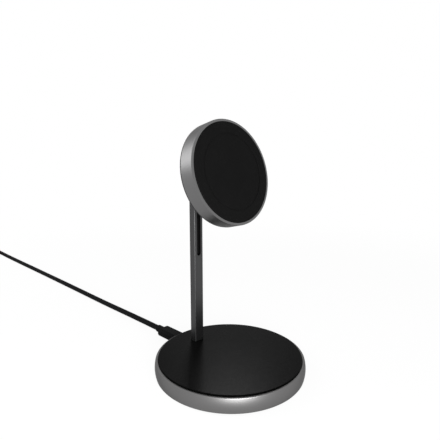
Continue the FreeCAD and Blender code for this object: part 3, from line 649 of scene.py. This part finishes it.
def strap_rows(lead, corner_steps=7, across=8):
    """Rows of points across the strap, once round the coil's turns and on over its own start."""
    radius = lead.diameter / 2 + STRAP_GAP
    half_width = (COIL_COLUMNS - 1) * lead.pitch / 2
    half_height = lead.pitch / 2
    level = COIL_CENTRE.z + half_height
    outline = []
    for number, (a, b) in enumerate(((-1, 1), (-1, -1), (1, -1), (1, 1))):
        for step in range(corner_steps + 1):
            angle = math.pi / 2 * (1 + number + step / corner_steps)
            away = Vector((math.cos(angle), math.sin(angle)))
            outline.append((Vector((a * half_width, b * half_height)) + away * radius, away))
    start = Vector((-half_width * STRAP_START, half_height + radius))
    up = Vector((0, 1))
    path = [(start, up, 0.0)] + [(place, away, 0.0) for place, away in outline]
    for step in range(1, CLIMB_STEPS + 1):
        share = step / CLIMB_STEPS
        way = (half_width + lead.strap_overlap / 2) * share
        place = Vector((half_width - way, half_height + radius))
        path.append((place, up, lead.strap_thickness * ease(share, 0.0, CLIMB_SHARE)))
    mean = lead.coil_diameter / 2
    rows = []
    for place, away, lift in path:
        row = []
        for side, offset in ((0, 0.0), (1, lead.strap_thickness)):
            for index in range(across + 1):
                share = index / across if side == 0 else 1 - index / across
                slide = lead.strap_width * (share - 0.5)
                spot = place + away * (lift + offset)
                angle = math.pi / 2 + slide / mean
                row.append(Vector((COIL_CENTRE.x + (mean + spot.x) * math.cos(angle),
                                   COIL_CENTRE.y + (mean + spot.x) * math.sin(angle), level + spot.y)))
        rows.append(row)
    return rows


class CHARGER_OT_dress_metal(bpy.types.Operator):
    """Finish the base rim, head rim, stem, cap and arm."""

    bl_idname = "charger.dress_metal"
    bl_label = "Finish metal shells"

    def execute(self, context):
        look = context.scene.charger_finish
        dress(blasted_metal("rim_finish", look.rim, look.edge, look.metal_roughness), "base_rim")
        dress(blasted_metal("head_finish", look.head, look.edge, look.metal_roughness), "head_rim")
        stem = drawn_metal("stem_finish", look.stem, look.edge, look.metal_roughness)
        dress(stem, "stem", "stem_cap", "arm", "hinge_bracket")
        return {"FINISHED"}


class CHARGER_OT_dress_soft(bpy.types.Operator):
    """Finish the pad, the head's face and the foot."""

    bl_idname = "charger.dress_soft"
    bl_label = "Finish soft surfaces"

    def execute(self, context):
        look = context.scene.charger_finish
        dress(soft_touch("pad_finish", look.pad), "charging_pad", "head_face")
        dress(matt_rubber("foot_finish", look.rubber), "foot_ring")
        return {"FINISHED"}


class CHARGER_OT_dress_plastic(bpy.types.Operator):
    """Finish the moulded covers, slides and plug grips."""

    bl_idname = "charger.dress_plastic"
    bl_label = "Finish plastic"

    def execute(self, context):
        look = context.scene.charger_finish
        black = moulded_plastic("cover_finish", look.plastic, roughness=0.52)
        dress(black, "bottom_cover", "head_back", "slide_shoe", "slide_block", "hinge_washers")
        dress(moulded_plastic("shell_finish", look.shell, roughness=0.5), "pad_deck", "head_tray")
        dress(lead_jacket("plug_finish", look.jacket), "plug_body", "far_plug_body")
        return {"FINISHED"}


class CHARGER_OT_dress_inside(bpy.types.Operator):
    """Finish the boards, magnets, weights and other pieces inside the housings."""

    bl_idname = "charger.dress_inside"
    bl_label = "Finish inner pieces"

    def execute(self, context):
        look = context.scene.charger_finish
        dress(turned_steel("steel_finish", look.steel),
              "socket_shell", "brake_spring", "hinge_pin", "plug_tip", "far_plug_tip")
        dress(plated_zinc("zinc_finish", look.zinc), "base_weight", "stem_foot", "magnet_yoke")
        dress(plated_zinc("nickel_finish", look.nickel), "ring_magnets")
        dress(pressed_ferrite("ferrite_finish", look.ferrite), "pad_ferrite", "head_ferrite")
        dress(solder_mask("board_finish", look.board), "base_board", "head_board")
        dress(moulded_plastic("chip_finish", look.plastic, roughness=0.4), "board_parts", "head_parts")
        dress(printed_flex("flex_finish", look.flex), "stem_lead")
        dress(contact_tongue("tongue_finish", look.plastic, look.copper), "socket_tongue")
        return {"FINISHED"}


class CHARGER_OT_make_screws(bpy.types.Operator):
    """Make the threaded screws of the base, stem, arm and head."""

    bl_idname = "charger.make_screws"
    bl_label = "Make screws"

    def execute(self, context):
        settings = context.scene.charger_parts
        steel = turned_steel("screw_finish", context.scene.charger_finish.steel)
        groups = [
            ("cover_screws", "base", Vector((0, 0, 1))),
            ("stem_screws", "base", Vector((0, 0, 1))),
            ("arm_screws", "carriage", Vector((0, 1, 0))),
            ("bracket_screws", "head", -FACE_AXIS),
        ]
        for node, body, axis in groups:
            turn, solids = solid_points(node, axis)
            shape = bmesh.new()
            for points in solids:
                add_screw(shape, points, turn, settings)
            name = "threaded_" + node
            add_piece(name, mesh_from(shape, name), steel, body, "steel", node)
        return {"FINISHED"}


class CHARGER_OT_make_windings(bpy.types.Operator):
    """Make the wound coils of the pad and the head."""

    bl_idname = "charger.make_windings"
    bl_label = "Make windings"

    def execute(self, context):
        settings = context.scene.charger_parts
        copper = enamelled_copper("winding_finish", context.scene.charger_finish.copper)
        groups = [
            ("pad_coil", "base", Vector((0, 0, 1)), settings.pad_turns),
            ("head_coil", "head", FACE_AXIS, settings.head_turns),
        ]
        for node, body, axis, turns in groups:
            turn, solids = solid_points(node, axis)
            name = node + "_winding"
            mesh = mesh_from(add_winding(solids[0], turn, turns), name)
            add_piece(name, mesh, copper, body, "copper", node)
        return {"FINISHED"}


class CHARGER_OT_make_lead(bpy.types.Operator):
    """Make the lead as one smooth line, with its coil and the strap round it."""

    bl_idname = "charger.make_lead"
    bl_label = "Make lead"

    def execute(self, context):
        lead = context.scene.charger_lead
        look = context.scene.charger_finish
        points = lead_points(lead)
        curve = bpy.data.curves.new("lead", "CURVE")
        curve.dimensions = "3D"
        curve.bevel_depth = lead.diameter / 2
        curve.bevel_resolution = 5
        curve.resolution_u = 8
        curve.use_fill_caps = True
        line = curve.splines.new("NURBS")
        line.points.add(len(points) - 1)
        for spot, point in zip(line.points, points):
            spot.co = (*point, 1.0)
        line.order_u = 3
        line.use_endpoint_u = True
        jacket = lead_jacket("jacket_finish", look.jacket)
        cord = add_piece("lead", curve, jacket, "base", "cable_jacket",
                         "cable", "cable_coil", "cable_tail")

        shape = bmesh.new()
        loft(shape, strap_rows(lead))
        mesh = mesh_from(shape, "coil_strap")
        weave = woven_strap("strap_finish", look.strap)
        strap = add_piece("coil_strap", mesh, weave, "base", "cable_jacket", "coil_tie")
        return {"FINISHED"}


def seen_share(tree):
    """1 for rays that show the background: straight to the camera, in a reflection or through glass."""
    path = add_node(tree, "LightPath")
    total = path.outputs["Is Camera Ray"]
    for name in ("Is Glossy Ray", "Is Transmission Ray"):
        total = add_node(tree, "Math", {0: total, 1: path.outputs[name]}, operation="MAXIMUM").outputs[0]
    return total


def make_floor(stage):
    """Pale floor that keeps a soft shadow beside the object and turns plain white away from it."""
    bpy.ops.mesh.primitive_plane_add(size=FLOOR_SIDE, location=(0, 0, -FLOOR_DROP))
    floor = bpy.context.active_object
    floor.name = "floor"
    material = bpy.data.materials.new("floor_finish")
    material.use_nodes = True
    tree = material.node_tree
    tree.nodes.remove(tree.nodes["Principled BSDF"])
    place = add_node(tree, "NewGeometry").outputs["Position"]
    distance = add_node(tree, "VectorMath", {0: place}, operation="LENGTH").outputs["Value"]
    inputs = {"Value": distance, "From Min": stage.fade_start, "From Max": stage.fade_end,
              "To Min": stage.floor_glow, "To Max": 1.0}
    glow = add_node(tree, "MapRange", inputs, interpolation_type="SMOOTHSTEP").outputs["Result"]
    share = add_node(tree, "Math", {0: glow, 1: seen_share(tree)}, operation="MULTIPLY").outputs[0]
    matt = add_node(tree, "BsdfDiffuse", {"Color": shade(stage.floor)}).outputs["BSDF"]
    white = add_node(tree, "Emission").outputs["Emission"]
    mix = add_node(tree, "MixShader", {0: share, 1: matt, 2: white}).outputs["Shader"]
    tree.links.new(mix, tree.nodes["Material Output"].inputs["Surface"])
    floor.data.materials.append(material)


def make_sky(stage):
    """White all round for the camera and reflections, softer as a light."""
    world = bpy.data.worlds.new("sky")
    world.use_nodes = True
    tree = world.node_tree
    inputs = {"Value": seen_share(tree), "To Min": stage.sky, "To Max": 1.0}
    strength = add_node(tree, "MapRange", inputs).outputs["Result"]
    background = tree.nodes["Background"]
    background.inputs["Color"].default_value = (1, 1, 1, 1)
    tree.links.new(strength, background.inputs["Strength"])
    bpy.context.scene.world = world


def add_softbox(name, place, aim, width, height, power):
    """A flat light that faces a point and that the camera doesn't see."""
    lamp = bpy.data.lights.new(name, "AREA")
    lamp.shape = "RECTANGLE"
    lamp.size = width
    lamp.size_y = height
    lamp.energy = power
    softbox = bpy.data.objects.new(name, lamp)
    softbox.location = place
    softbox.rotation_euler = (Vector(aim) - Vector(place)).to_track_quat("-Z", "Y").to_euler()
    softbox.visible_camera = False
    bpy.context.scene.collection.objects.link(softbox)
    return softbox


def choose_lit(softbox, state, *nodes):
    """Aims a softbox at some solids alone (INCLUDE), or keeps it off them (EXCLUDE)."""
    choice = bpy.data.collections.new(softbox.name + "_choice")
    softbox.light_linking.receiver_collection = choice
    for node in nodes:
        choice.objects.link(frame["nodes"][node])
    for member in choice.collection_objects:
        member.light_linking.link_state = state


def make_camera():
    """Camera where the photograph was taken, with its angle of view."""
    camera = bpy.data.cameras.new("camera")
    camera.sensor_width = SENSOR_MM
    camera.lens = SENSOR_MM * FOCAL_PIXELS / PHOTO_PIXELS
    camera.clip_start = NEAR_CLIP
    eye = bpy.data.objects.new("camera", camera)
    eye.location = CAMERA_PLACE
    eye.rotation_euler = (math.pi / 2 + CAMERA_PITCH, 0, CAMERA_HEADING)
    bpy.context.scene.collection.objects.link(eye)
    bpy.context.scene.camera = eye


class CHARGER_OT_set_stage(bpy.types.Operator):
    """Set up the floor, the lights and the camera."""

    bl_idname = "charger.set_stage"
    bl_label = "Set the stage"

    def execute(self, context):
        stage = context.scene.charger_stage
        make_floor(stage)
        make_sky(stage)
        front = add_softbox("front_light", *FRONT_BOX, stage.front_power)
        choose_lit(front, "EXCLUDE", "charging_pad", "head_rim")
        back = add_softbox("back_light", *BACK_BOX, stage.back_power)
        choose_lit(back, "EXCLUDE", "base_rim")
        sheen = add_softbox("sheen_light", *SHEEN_BOX, stage.sheen_power)
        choose_lit(sheen, "INCLUDE", "charging_pad")
        make_camera()
        context.scene.view_settings.view_transform = "Standard"
        return {"FINISHED"}


OPERATORS = (
    CHARGER_OT_make_lead,
    CHARGER_OT_dress_metal,
    CHARGER_OT_dress_soft,
    CHARGER_OT_dress_plastic,
    CHARGER_OT_dress_inside,
    CHARGER_OT_make_screws,
    CHARGER_OT_make_windings,
    CHARGER_OT_set_stage,
)
SETTINGS = {
    "charger_finish": FinishSettings,
    "charger_lead": LeadSettings,
    "charger_parts": PartSettings,
    "charger_stage": StageSettings,
}


class CHARGER_PT_panel(bpy.types.Panel):
    """Steps and settings of the charging stand."""

    bl_idname = "CHARGER_PT_panel"
    bl_label = "Charging stand"
    bl_space_type = "VIEW_3D"
    bl_region_type = "UI"
    bl_category = "Charging stand"

    def draw(self, context):
        for operator in OPERATORS:
            self.layout.operator(operator.bl_idname)
        for group, settings in SETTINGS.items():
            box = self.layout.box()
            for name in settings.__annotations__:
                box.prop(getattr(context.scene, group), name)


def register():
    """Adds the settings, the steps and the panel."""
    for kind in (*SETTINGS.values(), *OPERATORS, CHARGER_PT_panel):
        bpy.utils.register_class(kind)
    for group, settings in SETTINGS.items():
        setattr(bpy.types.Scene, group, PointerProperty(type=settings))


def unregister():
    """Takes them away again."""
    for group in SETTINGS:
        delattr(bpy.types.Scene, group)
    for kind in (CHARGER_PT_panel, *reversed(OPERATORS), *SETTINGS.values()):
        bpy.utils.unregister_class(kind)


def main():
    """Runs every step."""
    register()
    bpy.ops.charger.make_lead()
    bpy.ops.charger.dress_metal()
    bpy.ops.charger.dress_soft()
    bpy.ops.charger.dress_plastic()
    bpy.ops.charger.dress_inside()
    bpy.ops.charger.make_screws()
    bpy.ops.charger.make_windings()
    bpy.ops.charger.set_stage()


if __name__ == "__main__":
    main()
